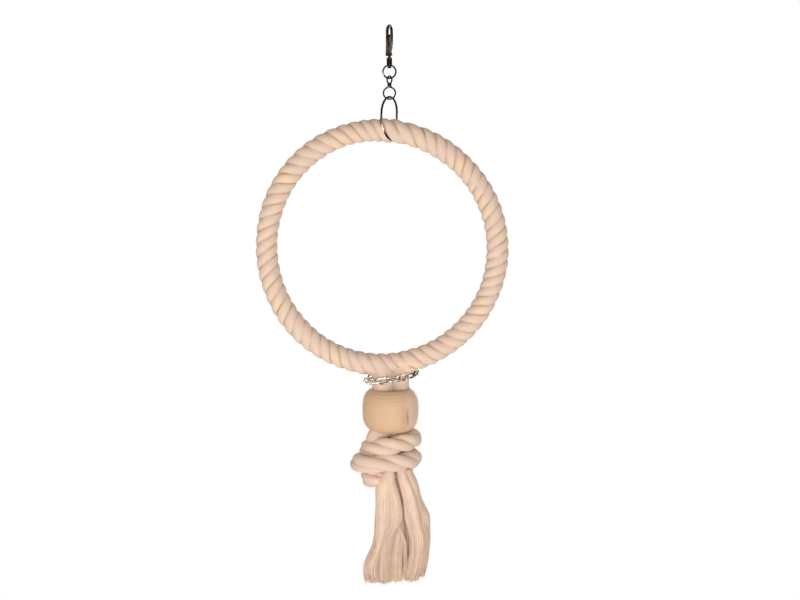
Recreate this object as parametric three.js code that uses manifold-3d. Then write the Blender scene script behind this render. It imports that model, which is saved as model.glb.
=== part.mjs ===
// Hanging rope perch for pet birds: a snap hook with a swivel eye, a wire link and a bail carry a
// round perch of thick rope. Its two legs run down through a chain, a wooden bead and a knot, and
// end in an opened tassel. Millimetres, +Z up, +X right and +Y away from the viewer. The origin is
// the inside top of the hook, where it hangs on a bar.
import * as THREE from 'three';
import { mergeVertices } from 'three/addons/utils/BufferGeometryUtils.js';
import Module from 'manifold-3d';

const wasm = await Module();
wasm.setup();

// Driving dimensions
const gap = 0.3; // clearance between pieces that touch or run on each other

// Snap hook: one bent rod, its plane turned away from the viewer
const hookRod = 3.0;
const hookArchRadius = 6.0; // centre line of the arch
const hookNoseDrop = 4.0; // straight nose below the arch
const hookSpineDrop = 11.5; // straight spine below the arch
const hookNeckDrop = 13.0; // height in which the spine comes in to the shank
const hookTurn = 21; // degrees from the YZ plane
const shankHeadDiameter = 4.4;
const shankHeadHeight = 1.6;
const shankTipDiameter = 2.6; // flat left under the peened edge
const shankCrown = 1.0; // height of the peened edge

// Gate: a folded sheet channel on a cross pin, closing against the inside of the nose
const gateSheet = 0.6;
const gateTipDepth = 2.4;
const gateOverlap = 1.5; // how far the tip passes the nose's end
const gateTail = 1.5; // channel below the pivot
const gateCheekHeight = 3.0; // deep cheeks above the pivot
const earRadius = 1.9;
const earRaise = 0.6; // ear's lower edge above the end of the spine's bend
const pivotPin = 1.6;
const pivotHeadDiameter = 2.8;
const pivotHeadHeight = 0.6;

// Gate spring: a small coil between the gate's web and the spine
const springWire = 0.4;
const springDiameter = 2.6;
const springCurls = 4;
const springAbovePivot = 5.0;

// Swivel eye: a collar on the hook's shank, carrying a ring
const collarDiameter = 5.8;
const collarHeight = 8.9;
const collarBelowNeck = 0.5; // collar's top under the end of the spine's bend
const eyeWire = 1.8;
const eyeRadius = 6.35; // centre line
const eyeSink = 1.2; // ring's top centre line above the collar's lower face

// Connecting link: one wire with a small eye, a wrapped neck and a ring
const linkWire = 1.7;
const linkEyeRadius = 3.6;
const linkEyeTurn = 40; // degrees from the YZ plane
const linkNeck = 3.6; // from the eye's lower centre line to the ring's upper one
const linkRingRadius = 5.9;
const wrapTurns = 1.5;
const wrapPitch = 2.2;
const wrapSink = 0.05; // how far the wrap is drawn into the neck

// Bail: a wire loop through the link's ring and round the rope
const bailWire = 2.2;
const bailCrown = 16.0; // height of the rounded top
const bailSink = 1.3; // loop's lower centre line inside the rope's surface
const bailStraight = 0.2; // straight stretch of the sides, as a share of the loop's rise
const bailTurn = 32; // degrees from the YZ plane
const bailButt = 0.6; // open joint of the wire, under the rope
const bailLay = 6.0; // how far the loop's foot follows the rope's lay

// Perch: rope bent to a hoop round a steel wire
const ropeDiameter = 21.8;
const hoopRadius = 115.8; // centre line
const hoopShift = -8.0; // hoop's centre beside the hanging line
const hoopBelowLink = 37.3; // rope's top centre line under the link ring's centre
const coreWire = 3.0;
const coreTail = 40.0; // how far the wire's ends run down the legs
const coreJoin = 14.0; // sideways run of the wire from a leg into the hoop

// Legs: the rope's two ends, side by side as a neck, through the bead and the knot
const legDiameter = 18.0;
const legGap = 0.7; // between the two legs
const legTurn = 24; // degrees, left leg nearer the viewer
const legTopDepth = 0.3; // share of that turn where they leave the hoop
const legTopRun = 12.0; // height in which they turn
const neckShift = 1.0; // neck's centre beside the hanging line
const legKnotDiameter = 15.0; // legs squeezed by the knot
const legSqueeze = 10.0; // height, in the bead's lower end, in which the legs draw in

// Chain: a closed loop of oval links drawn up round the neck, with as many links as go round
const chainWire = 2.0;
const linkLength = 15.0; // outside
const linkWidth = 8.2; // outside
const linkButt = 0.5; // open joint of each bent link
const chainRoom = 2.9; // between the legs and the links that stand across
const chainEnds = 2.45; // more room at the neck's two ends
const chainShift = 2.0; // loop's centre beside the hanging line
const chainLean = 1.05; // towards the viewer, so that the loop lies on the back of the neck
const chainDrop = 3.1; // loop's centre under the hoop
const chainTilt = 6.4; // degrees, right side higher
const chainRoll = 22; // degrees, lie of every other link; those between stand across

// Bead: a drilled wooden ball
const beadRadius = 28.4;
const beadHeight = 42.8; // between its two faces, which are as wide as the bore
const beadFullness = 3.0; // power of its side's curve, 2 for a true ball
const beadEdge = 1.2; // eased edge
const beadDrop = 12.1; // bead's top under the chain's centre

// Knot: rope wound round both legs, its ends tucked in behind
const knotRope = 16.2;
const knotPitch = 16.9;
const knotStart = -0.1; // turns, counted from the right towards the viewer
const knotEnd = 2.58;
const knotBulge = 8.0; // the middle turn stands off at the left
const knotBulgeAt = 1.5; // turns
const knotBulgeRun = 0.16; // turns
const knotDips = [0, 0.6, 2.0, 0, 2.4, 0]; // how much lower it lies after each half turn

// Tassel: the opened strands of both legs, bowed to one side on their way down. Where each one ends,
// how much shorter it is and its bow are counted in radii of the opened strand
const strandTop = 3.3; // radius where the leg opens
const strandSwell = 8.8; // radius of the opened strand
const strandRing = 4.0; // strands' centres from the leg's centre
const strandOpening = 2.2; // power by which the strands open, soonest at the top
const strandBow = 0.6; // power that places the bow, above the middle
const strandBlunt = 0.8; // share of the radius left at the cut end
const tasselDrop = 2.2; // knot's lowest turn to the legs' ends
const tasselLength = 96.0;
const tassel = [
  { leg: -1, angle: 190, end: [-1.94, -1.02], trim: 0, bow: 0.57 },
  { leg: -1, angle: 310, end: [0.11, -1.25], trim: 0.1, bow: 0.57 },
  { leg: -1, angle: 70, end: [-0.9, 1.03], trim: 0.2, bow: 0.57 },
  { leg: 1, angle: 250, end: [2.16, -1.02], trim: 0.1, bow: 0.8 },
  { leg: 1, angle: 10, end: [3.2, 0.8], trim: 0.45, bow: 1.14 },
  { leg: 1, angle: 130, end: [1.14, 1.03], trim: 0.2, bow: 0.8 },
];

const rad = THREE.MathUtils.degToRad;
const vec = (x, y, z) => new THREE.Vector3(x, y, z);
const smooth = (t) => THREE.MathUtils.smoothstep(t, 0, 1);

// Heights that follow from the pieces hanging in each other
const archZ = hookRod / 2 - hookArchRadius;
const noseZ = archZ - hookNoseDrop;
const neckTopZ = archZ - hookSpineDrop;
const neckEndZ = neckTopZ - hookNeckDrop;
const collarTopZ = neckEndZ - collarBelowNeck;
const collarEndZ = collarTopZ - collarHeight;
const eyeZ = collarEndZ + eyeSink - eyeRadius;
const eyeBottomZ = eyeZ - eyeRadius;
const linkEyeZ = eyeBottomZ + (eyeWire + linkWire) / 2 + gap - linkEyeRadius;
const linkRingZ = linkEyeZ - linkEyeRadius - linkNeck - linkRingRadius;
const bailTopZ = linkRingZ - linkRingRadius + (linkWire + bailWire) / 2 + gap;
const ropeTopZ = linkRingZ - hoopBelowLink;
const hoopZ = ropeTopZ - hoopRadius;
const hoopBottomZ = hoopZ - hoopRadius;
const chainZ = hoopBottomZ - ropeDiameter / 2 - chainDrop;
const legSpread = (legDiameter + legGap) / 2; // leg's centre from the neck's centre
const legKnotSpread = (legKnotDiameter + legGap) / 2;
const beadBore = 2 * (legSpread + legDiameter / 2 + gap);
const beadHalf = beadHeight / 2;
const beadZ = chainZ - beadDrop - beadHalf;
const knotZ = beadZ - beadHalf - gap - knotRope / 2 + knotPitch * knotStart;
const knotEndZ = knotZ - knotPitch * knotEnd;
const legEndZ = knotEndZ - tasselDrop;

class FormulaCurve extends THREE.Curve {
  constructor(formula) {
    super();
    this.formula = formula;
  }

  getPoint(t, target = new THREE.Vector3()) {
    return target.copy(this.formula(t));
  }
}

function roundSection(diameter, sides) {
  const points = [];
  for (let i = 0; i < sides; i++) {
    const angle = (2 * Math.PI * i) / sides;
    points.push(new THREE.Vector2(Math.cos(angle), Math.sin(angle)).multiplyScalar(diameter / 2));
  }
  return new THREE.Shape(points);
}

function bentRod(curve, diameter, sides, steps) {
  return new THREE.ExtrudeGeometry(roundSection(diameter, sides), { steps, extrudePath: curve });
}

// A closed solid of level rings down a hanging curve, its radius changing for t from 0 to 1
function hangingRod(curve, radius, sides, steps) {
  const positions = [];
  const index = [];
  for (let i = 0; i <= steps; i++) {
    const centre = curve.getPoint(i / steps);
    for (let k = 0; k < sides; k++) {
      const angle = (2 * Math.PI * k) / sides;
      const reach = vec(Math.cos(angle), Math.sin(angle), 0).multiplyScalar(radius(i / steps));
      positions.push(...reach.add(centre));
    }
  }
  for (let i = 0; i < steps; i++) {
    for (let k = 0; k < sides; k++) {
      const next = (k + 1) % sides;
      const [a, b] = [i * sides + k, i * sides + next];
      index.push(a, b + sides, b, a, a + sides, b + sides);
    }
  }
  const last = steps * sides;
  for (let k = 1; k < sides - 1; k++) {
    index.push(0, k, k + 1, last, last + k + 1, last + k);
  }
  const geometry = new THREE.BufferGeometry();
  geometry.setAttribute('position', new THREE.Float32BufferAttribute(positions, 3));
  geometry.setIndex(index);
  return geometry;
}

// The least distance between stretches of a tube that lie over half a turn apart, less its diameter
function selfGap(curve, diameter, turns, samples) {
  const points = curve.getSpacedPoints(samples);
  const apart = Math.ceil((0.5 * samples) / turns);
  let least = Infinity;
  for (let i = 0; i < points.length; i++) {
    for (let k = i + apart; k < points.length; k++) {
      least = Math.min(least, points[i].distanceTo(points[k]));
    }
  }
  return least - diameter;
}

// Joining and cutting of closed meshes
function toSolid(geometry) {
  const bare = geometry.clone();
  for (const name of ['normal', 'uv']) {
    bare.deleteAttribute(name);
  }
  const merged = mergeVertices(bare, 1e-4);
  const mesh = new wasm.Mesh({
    numProp: 3,
    vertProperties: new Float32Array(merged.attributes.position.array),
    triVerts: new Uint32Array(merged.index.array),
  });
  mesh.merge();
  return new wasm.Manifold(mesh);
}

function fromSolid(solid) {
  const mesh = solid.getMesh();
  const geometry = new THREE.BufferGeometry();
  geometry.setAttribute('position', new THREE.Float32BufferAttribute(mesh.vertProperties, 3));
  geometry.setIndex(Array.from(mesh.triVerts));
  return geometry;
}

function shape(added, removed = []) {
  let solid = toSolid(added[0]);
  for (const geometry of added.slice(1)) {
    solid = solid.add(toSolid(geometry));
  }
  for (const geometry of removed) {
    solid = solid.subtract(toSolid(geometry));
  }
  return fromSolid(solid);
}

function turnedRod(diameter, length, sides) {
  return new THREE.CylinderGeometry(diameter / 2, diameter / 2, length, sides);
}

// Materials
const nickel = new THREE.MeshStandardMaterial({ color: 0xb9b7b2, roughness: 0.22, metalness: 1 });
const springSteel = new THREE.MeshStandardMaterial({ color: 0x8f8f90, roughness: 0.35, metalness: 1 });
const cotton = new THREE.MeshStandardMaterial({ color: 0xe2c8ae, roughness: 0.95, metalness: 0 });
const wood = new THREE.MeshStandardMaterial({ color: 0xd8b48a, roughness: 0.55, metalness: 0 });

const perch = new THREE.Group();
const hook = new THREE.Group();
hook.rotation.z = rad(90 - hookTurn);
perch.add(hook);

function add(parent, name, geometry, material) {
  const mesh = new THREE.Mesh(geometry, material);
  mesh.name = name;
  parent.add(mesh);
  return mesh;
}

// Snap hook, in its own group: X across from nose to spine, Y square to the hook's plane
const hookPath = new THREE.CurvePath();
hookPath.add(new THREE.LineCurve3(vec(-hookArchRadius, 0, noseZ), vec(-hookArchRadius, 0, archZ)));
hookPath.add(new FormulaCurve((t) => {
  const angle = Math.PI * (1 - t);
  return vec(hookArchRadius * Math.cos(angle), 0, archZ + hookArchRadius * Math.sin(angle));
}));
hookPath.add(new THREE.LineCurve3(vec(hookArchRadius, 0, archZ), vec(hookArchRadius, 0, neckTopZ)));
const neckCurve = new THREE.CubicBezierCurve3(
  vec(hookArchRadius, 0, neckTopZ),
  vec(hookArchRadius, 0, neckTopZ - hookNeckDrop / 2),
  vec(0, 0, neckEndZ + hookNeckDrop / 2),
  vec(0, 0, neckEndZ),
);
hookPath.add(neckCurve);
hookPath.add(new THREE.LineCurve3(vec(0, 0, neckEndZ), vec(0, 0, collarEndZ - gap - shankHeadHeight)));

const gateFace = -(hookArchRadius - hookRod / 2 - gap); // outside of the gate's web
const pivotX = gateFace + gateSheet + gap + earRadius;
const pivotZ = neckEndZ + earRaise + earRadius;
const gateTipZ = noseZ + gateOverlap;
const earThickness = hookRod;
const gateWidth = earThickness + 2 * (gap + gateSheet);

function gateEar() {
  const root = hookRod / 4; // the ear ends inside the rod
  const outline = new THREE.Shape();
  outline.absarc(pivotX, pivotZ, earRadius, Math.PI / 2, (3 * Math.PI) / 2, false);
  outline.lineTo(root, pivotZ - earRadius);
  outline.lineTo(root, pivotZ + earRadius);
  const sheet = { depth: earThickness, bevelEnabled: false, curveSegments: 6 };
  const ear = new THREE.ExtrudeGeometry(outline, sheet);
  return ear.translate(0, 0, -earThickness / 2).rotateX(Math.PI / 2);
}

function shankHead() {
  const top = collarEndZ - gap;
  const half = shankHeadDiameter / 2;
  const outline = [
    new THREE.Vector2(0, top - shankHeadHeight),
    new THREE.Vector2(shankTipDiameter / 2, top - shankHeadHeight),
    new THREE.Vector2(half, top - shankHeadHeight + shankCrown),
    new THREE.Vector2(half, top),
    new THREE.Vector2(0, top),
  ];
  return new THREE.LatheGeometry(outline, 16).rotateX(Math.PI / 2);
}

const pivotHole = turnedRod(pivotPin + 2 * gap, gateWidth * 2, 16).translate(pivotX, 0, pivotZ);
const hookBody = shape([bentRod(hookPath, hookRod, 10, 52), gateEar(), shankHead()], [pivotHole]);
add(hook, 'hook_body', hookBody, nickel);

// Gate: side outline of the folded channel, hollowed between its cheeks
function gateSide(inset) {
  const back = pivotX + earRadius - gap;
  const outline = new THREE.Shape();
  outline.moveTo(gateFace + inset, gateTipZ - inset);
  outline.lineTo(gateFace + inset, pivotZ - gateTail - inset);
  outline.lineTo(back + inset, pivotZ - gateTail - inset);
  outline.lineTo(back + inset, pivotZ + gateCheekHeight);
  outline.lineTo(gateFace + gateTipDepth + inset, gateTipZ - inset);
  outline.closePath();
  return outline;
}

function gatePlate(inset, width) {
  const plate = new THREE.ExtrudeGeometry(gateSide(inset), { depth: width, bevelEnabled: false });
  return plate.translate(0, 0, -width / 2).rotateX(Math.PI / 2);
}

const gateShell = shape(
  [gatePlate(0, gateWidth)],
  [gatePlate(gateSheet, gateWidth - 2 * gateSheet), pivotHole],
);
add(hook, 'hook_gate', gateShell, nickel);

const pinLength = gateWidth + 2 * gap;
const pivotHead = (side) => turnedRod(pivotHeadDiameter, pivotHeadHeight, 16)
  .translate(0, (side * (pinLength + pivotHeadHeight)) / 2, 0);
const pivot = shape([turnedRod(pivotPin, pinLength + pivotHeadHeight, 16), pivotHead(-1), pivotHead(1)]);
add(hook, 'gate_pivot_pin', pivot, nickel).position.set(pivotX, 0, pivotZ);

// Gate spring, from the gate's web to the inside of the spine
const springZ = pivotZ + springAbovePivot;
const offSpring = (point) => Math.abs(point.z - springZ);
const nearer = (best, point) => (offSpring(point) < offSpring(best) ? point : best);
const spineAtSpring = neckCurve.getPoints(60).reduce(nearer);
const springStart = gateFace + gateSheet + gap + springWire / 2;
const springStop = spineAtSpring.x - hookRod - gap; // the slanted rod reaches in by its width
const springCurve = new FormulaCurve((t) => {
  const angle = 2 * Math.PI * springCurls * t;
  const reach = (springDiameter - springWire) / 2;
  const along = THREE.MathUtils.lerp(springStart, springStop, t);
  return vec(along, reach * Math.cos(angle), springZ + reach * Math.sin(angle));
});
add(hook, 'gate_spring', bentRod(springCurve, springWire, 5, springCurls * 8), springSteel);
console.log('gate_spring gap between curls', selfGap(springCurve, springWire, springCurls, 200).toFixed(2));

// Swivel eye: collar bored for the shank, ring fused to its lower end
const ringAcross = (radius, wire, sides, steps) => new THREE.TorusGeometry(radius, wire / 2, sides, steps)
  .rotateX(Math.PI / 2);
const collar = turnedRod(collarDiameter, collarHeight, 20).rotateX(Math.PI / 2);
const collarBore = turnedRod(hookRod + 2 * gap, collarHeight * 2, 16).rotateX(Math.PI / 2);
const collarMid = (collarTopZ + collarEndZ) / 2;
const swivelEye = shape(
  [collar.translate(0, 0, collarMid), ringAcross(eyeRadius, eyeWire, 8, 32).translate(0, 0, eyeZ)],
  [collarBore.translate(0, 0, collarMid)],
);
add(perch, 'swivel_eye', swivelEye, nickel);

// Connecting link: eye turned to the rings, neck wrapped with its own wire end, ring below
const wrapRadius = linkWire - wrapSink;
const wrapCurve = new FormulaCurve((t) => {
  const angle = 2 * Math.PI * wrapTurns * t;
  const middle = linkEyeZ - linkEyeRadius - linkNeck / 2;
  const height = wrapTurns * wrapPitch * (0.5 - t);
  return vec(wrapRadius * Math.cos(angle), wrapRadius * Math.sin(angle), middle + height);
});
const linkNeckRod = turnedRod(linkWire, linkNeck + linkWire, 8).rotateX(Math.PI / 2)
  .translate(0, 0, linkEyeZ - linkEyeRadius - linkNeck / 2);
const linkEye = new THREE.TorusGeometry(linkEyeRadius, linkWire / 2, 8, 20).rotateX(Math.PI / 2)
  .rotateZ(rad(90 - linkEyeTurn)).translate(0, 0, linkEyeZ);
const linkRing = ringAcross(linkRingRadius, linkWire, 8, 28).translate(0, 0, linkRingZ);
const link = shape([linkEye, linkNeckRod, bentRod(wrapCurve, linkWire, 8, 16), linkRing]);
add(perch, 'connecting_link', link, nickel);
console.log('connecting_link gap in the wrap', selfGap(wrapCurve, linkWire, wrapTurns, 120).toFixed(2));

// Bail: rounded top, straight sides, and a shallow round under the rope where the wire's ends meet
const bailHalfWidth = (ropeDiameter + bailWire) / 2 + gap;
const bailDepth = ropeDiameter / 2 - bailSink;
function bailPoint(t) {
  const butt = bailButt / 2 / bailHalfWidth;
  const angle = THREE.MathUtils.lerp(butt, 2 * Math.PI - butt, t) - Math.PI / 2;
  const across = bailHalfWidth * Math.cos(angle);
  const rise = Math.sin(angle);
  const climb = smooth((rise + bailStraight) / (2 * bailStraight));
  const side = ropeTopZ + climb * (bailTopZ - bailCrown - ropeTopZ);
  const height = side + rise * (rise > 0 ? bailCrown : bailDepth);
  const laid = bailLay * smooth((ropeTopZ + ropeDiameter / 2 - height) / ropeDiameter);
  return vec(laid + across * Math.sin(rad(bailTurn)), across * Math.cos(rad(bailTurn)), height);
}

const bailCurve = new FormulaCurve(bailPoint);
const bailSteps = 44;
add(perch, 'bail', bentRod(bailCurve, bailWire, 8, bailSteps), nickel);

// Rope hoop and legs. side is -1 for the left leg, which lies nearer the viewer, and 1 for the right
function legPoint(side, z, spread) {
  const reach = side * spread;
  const turned = THREE.MathUtils.lerp(legTopDepth, 1, smooth((hoopBottomZ - z) / legTopRun));
  return vec(neckShift + reach * Math.cos(rad(legTurn)), turned * reach * Math.sin(rad(legTurn)), z);
}

const squeezeTopZ = beadZ - beadHalf + legSqueeze;
const squeeze = (z) => smooth((squeezeTopZ - z) / legSqueeze);
const legTopZ = hoopBottomZ;
const legLength = legTopZ - legEndZ;

function legCurve(side) {
  return new FormulaCurve((t) => {
    const z = legTopZ - legLength * t;
    return legPoint(side, z, THREE.MathUtils.lerp(legSpread, legKnotSpread, squeeze(z)));
  });
}

const legRadius = (t) => {
  const z = legTopZ - legLength * t;
  return THREE.MathUtils.lerp(legDiameter, legKnotDiameter, squeeze(z)) / 2;
};
const leg = (side) => hangingRod(legCurve(side), legRadius, 12, 22);
const hoop = ringAcross(hoopRadius, ropeDiameter, 12, 64).translate(hoopShift, 0, hoopZ);

// Core wire: up the left leg, round the hoop and down the right leg, in a channel open at both ends
function coreCurve(endZ) {
  const inLeg = (side) => [
    legPoint(side, endZ, legKnotSpread),
    legPoint(side, squeezeTopZ, legSpread),
    legPoint(side, hoopBottomZ - coreJoin, legSpread),
  ];
  const joinX = (side) => legPoint(side, hoopBottomZ, legSpread).x + side * coreJoin;
  const joinAngle = (side) => Math.asin((joinX(side) - hoopShift) / hoopRadius);
  const [from, to] = [joinAngle(-1), joinAngle(1)];
  const points = inLeg(-1);
  const stops = 36;
  for (let i = 0; i <= stops; i++) {
    const angle = THREE.MathUtils.lerp(from, to - 2 * Math.PI, i / stops);
    points.push(vec(hoopShift + hoopRadius * Math.sin(angle), 0, hoopZ - hoopRadius * Math.cos(angle)));
  }
  points.push(...inLeg(1).reverse());
  return new THREE.CatmullRomCurve3(points, false, 'centripetal');
}

const channelCurve = coreCurve(legEndZ - coreWire);
const channelSteps = 80;
const tailCut = (legTopZ - coreTail - (legEndZ - coreWire)) / channelCurve.getLength();
const tailSteps = Math.round(tailCut * channelSteps);
const coreWireCurve = new FormulaCurve((t) => {
  const cut = tailSteps / channelSteps;
  return channelCurve.getPointAt(THREE.MathUtils.lerp(cut, 1 - cut, t));
});
const channel = bentRod(channelCurve, coreWire + 2 * gap, 6, channelSteps);
const bailGroove = bentRod(bailCurve, bailWire + 2 * gap, 8, bailSteps);
add(perch, 'rope_ring', shape([hoop, leg(-1), leg(1)], [channel, bailGroove]), cotton);
add(perch, 'hoop_core_wire', bentRod(coreWireCurve, coreWire, 6, channelSteps - 2 * tailSteps), springSteel);

// Chain: links hooked into each other at even points of a tilted oval, every other one standing across
const chainHalfDepth = legDiameter / 2 + linkWidth / 2 + chainRoom;
const chainHalfWidth = legSpread + chainHalfDepth + chainEnds;
const chainLoop = new FormulaCurve((t) => {
  const angle = 2 * Math.PI * t;
  const across = chainHalfWidth * Math.cos(angle);
  const point = vec(across, chainHalfDepth * Math.sin(angle), across * Math.tan(rad(chainTilt)));
  point.applyAxisAngle(vec(0, 0, 1), rad(legTurn));
  return point.add(vec(chainShift, -chainLean, chainZ));
});
const tautPitch = linkLength - 2 * chainWire - gap;
const chainLinks = 2 * Math.ceil(chainLoop.getLength() / (2 * tautPitch));

function ovalLink() {
  const bend = (linkWidth - chainWire) / 2;
  const straight = linkLength - linkWidth;
  const round = Math.PI * bend;
  const total = 2 * (straight + round);
  const oval = new FormulaCurve((t) => {
    let run = THREE.MathUtils.lerp(linkButt / 2, total - linkButt / 2, t) + straight / 2;
    const half = run % total > straight + round ? 1 : 0;
    run = (run % total) - half * (straight + round);
    const sign = half ? -1 : 1;
    if (run < straight) {
      return vec(sign * (run - straight / 2), -sign * bend, 0);
    }
    const angle = (run - straight) / bend - Math.PI / 2;
    return vec(sign * (straight / 2 + bend * Math.cos(angle)), sign * bend * Math.sin(angle), 0);
  });
  return bentRod(oval, chainWire, 6, 20);
}

for (let i = 0; i < chainLinks; i++) {
  const joint = (k) => chainLoop.getPointAt(((k + 0.5) / chainLinks) % 1);
  const from = joint(i);
  const to = joint(i + 1);
  const along = to.clone().sub(from).normalize();
  const outward = vec(0, 0, 1).cross(along).negate().normalize();
  const upward = along.clone().cross(outward).negate();
  const roll = rad(chainRoll + (i % 2) * 90);
  const across = upward.clone().multiplyScalar(Math.cos(roll)).addScaledVector(outward, Math.sin(roll));
  const facing = along.clone().cross(across);
  const piece = add(perch, `chain_link_${String(i + 1).padStart(2, '0')}`, ovalLink(), nickel);
  piece.setRotationFromMatrix(new THREE.Matrix4().makeBasis(along, across, facing));
  piece.position.copy(from.add(to).divideScalar(2));
}

// Bead: a full ball drilled through, with eased edges
function beadOutline() {
  const bore = beadBore / 2;
  const reach = beadHalf / (1 - (bore / beadRadius) ** beadFullness) ** (1 / beadFullness);
  const points = [new THREE.Vector2(bore, -beadHalf + beadEdge)];
  const stops = 12;
  for (let i = 0; i <= stops; i++) {
    const height = beadHalf * Math.sin(THREE.MathUtils.lerp(-0.5, 0.5, i / stops) * Math.PI);
    const eased = height * (1 - (beadEdge / beadHalf) * (Math.abs(height) / beadHalf) ** 8 / 4);
    const side = beadRadius * (1 - Math.abs(eased / reach) ** beadFullness) ** (1 / beadFullness);
    points.push(new THREE.Vector2(side, eased));
  }
  points.push(new THREE.Vector2(bore, beadHalf - beadEdge), points[0].clone());
  return points;
}

const bead = new THREE.LatheGeometry(beadOutline(), 40).rotateX(Math.PI / 2);
add(perch, 'wooden_bead', bead, wood).position.set(neckShift, 0, beadZ);

// Knot: one unbroken winding, from the right side over the front to the left and round again
function knotDip(turns) {
  const place = THREE.MathUtils.clamp(2 * turns, 0, knotDips.length - 1);
  const before = Math.min(Math.floor(place), knotDips.length - 2);
  return THREE.MathUtils.lerp(knotDips[before], knotDips[before + 1], smooth(place - before));
}

const knotCurve = new FormulaCurve((t) => {
  const turns = THREE.MathUtils.lerp(knotStart, knotEnd, t);
  const angle = 2 * Math.PI * turns;
  const seat = (legKnotDiameter + knotRope) / 2 + gap;
  const halfWidth = legKnotSpread + seat;
  const halfDepth = Math.sqrt(halfWidth * seat); // the oval's ends then curve with the legs
  const bulge = knotBulge * Math.exp(-(((turns - knotBulgeAt) / knotBulgeRun) ** 2));
  const [wide, deep] = [halfWidth + bulge, halfDepth + bulge];
  const height = knotZ - knotPitch * turns - knotDip(turns);
  const point = vec(wide * Math.cos(angle), -deep * Math.sin(angle), height);
  point.applyAxisAngle(vec(0, 0, 1), rad(legTurn));
  return point.add(vec(neckShift, 0, 0));
});
const knotTurns = knotEnd - knotStart;
add(perch, 'knot_winding', bentRod(knotCurve, knotRope, 8, Math.round(24 * knotTurns)), cotton);
console.log('knot_winding gap between turns', selfGap(knotCurve, knotRope, knotTurns, 260).toFixed(2));

// Tassel: three strands from each leg, swelling as they open, the last step drawn in at the cut end
const strandSteps = 12;
const opened = (t) => 1 - (1 - t) ** strandOpening;
tassel.forEach(({ leg: side, angle, end, trim, bow }, i) => {
  const top = legPoint(side, legEndZ - gap, legKnotSpread);
  top.add(vec(Math.cos(rad(angle)), Math.sin(rad(angle)), 0).multiplyScalar(strandRing));
  const curve = new FormulaCurve((t) => {
    const aside = strandSwell * bow * Math.sin(Math.PI * t ** strandBow) ** 2;
    const x = THREE.MathUtils.lerp(top.x, strandSwell * end[0], opened(t)) + aside;
    const y = THREE.MathUtils.lerp(top.y, strandSwell * end[1], opened(t));
    return vec(x, y, top.z - (tasselLength - strandSwell * trim) * t);
  });
  const radius = (t) => {
    const swollen = THREE.MathUtils.lerp(strandTop, strandSwell, opened(t));
    return t < 1 ? swollen : swollen * strandBlunt;
  };
  add(perch, `tassel_strand_${i + 1}`, hangingRod(curve, radius, 10, strandSteps), cotton);
});

export default perch;
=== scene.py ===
import math
import random

import bmesh
import bpy
import numpy as np
from mathutils import Matrix, Vector


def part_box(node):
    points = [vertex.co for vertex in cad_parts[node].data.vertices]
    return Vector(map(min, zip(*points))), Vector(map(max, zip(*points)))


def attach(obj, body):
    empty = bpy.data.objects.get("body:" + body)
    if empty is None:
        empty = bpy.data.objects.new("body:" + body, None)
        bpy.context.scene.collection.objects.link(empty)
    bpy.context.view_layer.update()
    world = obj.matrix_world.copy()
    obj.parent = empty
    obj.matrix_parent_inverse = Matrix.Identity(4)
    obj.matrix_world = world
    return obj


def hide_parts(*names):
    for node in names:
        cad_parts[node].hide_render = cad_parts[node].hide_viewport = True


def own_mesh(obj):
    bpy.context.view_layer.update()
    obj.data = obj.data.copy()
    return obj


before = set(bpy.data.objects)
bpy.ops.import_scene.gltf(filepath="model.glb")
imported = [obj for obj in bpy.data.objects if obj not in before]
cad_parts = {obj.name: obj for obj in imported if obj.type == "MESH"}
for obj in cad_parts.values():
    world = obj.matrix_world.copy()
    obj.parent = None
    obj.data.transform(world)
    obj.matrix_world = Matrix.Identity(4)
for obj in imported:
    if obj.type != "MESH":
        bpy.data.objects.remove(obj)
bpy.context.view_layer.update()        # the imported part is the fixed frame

# The rope perch as it hangs: settings are in millimetres and degrees, Blender's objects in metres
mm = 0.001
scene = bpy.context.scene
scene.view_settings.view_transform = "Standard"


def nodeBox(*nodes):
    # the low and the high corner of some of the frame's nodes
    lows, highs = zip(*[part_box(node) for node in nodes])
    return np.min(np.array(lows), axis=0) / mm, np.max(np.array(highs), axis=0) / mm


def smooth(t):
    t = np.clip(t, 0, 1)
    return t * t * (3 - 2 * t)


def blend(start, stop, share):
    return start + (stop - start) * share


def unit(vectors):
    return vectors / np.linalg.norm(vectors, axis=-1, keepdims=True)


def turned(points, degrees):
    # points turned about the hanging line
    cos, sin = math.cos(math.radians(degrees)), math.sin(math.radians(degrees))
    x, y, z = np.array(points, float).T
    return np.stack([x * cos - y * sin, x * sin + y * cos, z], axis=1)


# Camera

cameraSet = {"aim": (10.4, 0.0, -270.3), "distance": 2001.0, "pitch": 7.0, "lens": 90.05}


def addCamera():
    pitch = math.radians(cameraSet["pitch"])
    data = bpy.data.cameras.new("camera")
    data.lens = cameraSet["lens"]
    camera = bpy.data.objects.new("camera", data)
    scene.collection.objects.link(camera)
    away = Vector((0, -math.cos(pitch), math.sin(pitch))) * cameraSet["distance"]
    camera.location = (Vector(cameraSet["aim"]) + away) * mm
    camera.rotation_euler = (math.pi / 2 - pitch, 0, 0)
    scene.camera = camera


addCamera()
print("camera placed")


# Node trees: a socket with maths on it, and one way to add any node

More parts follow.
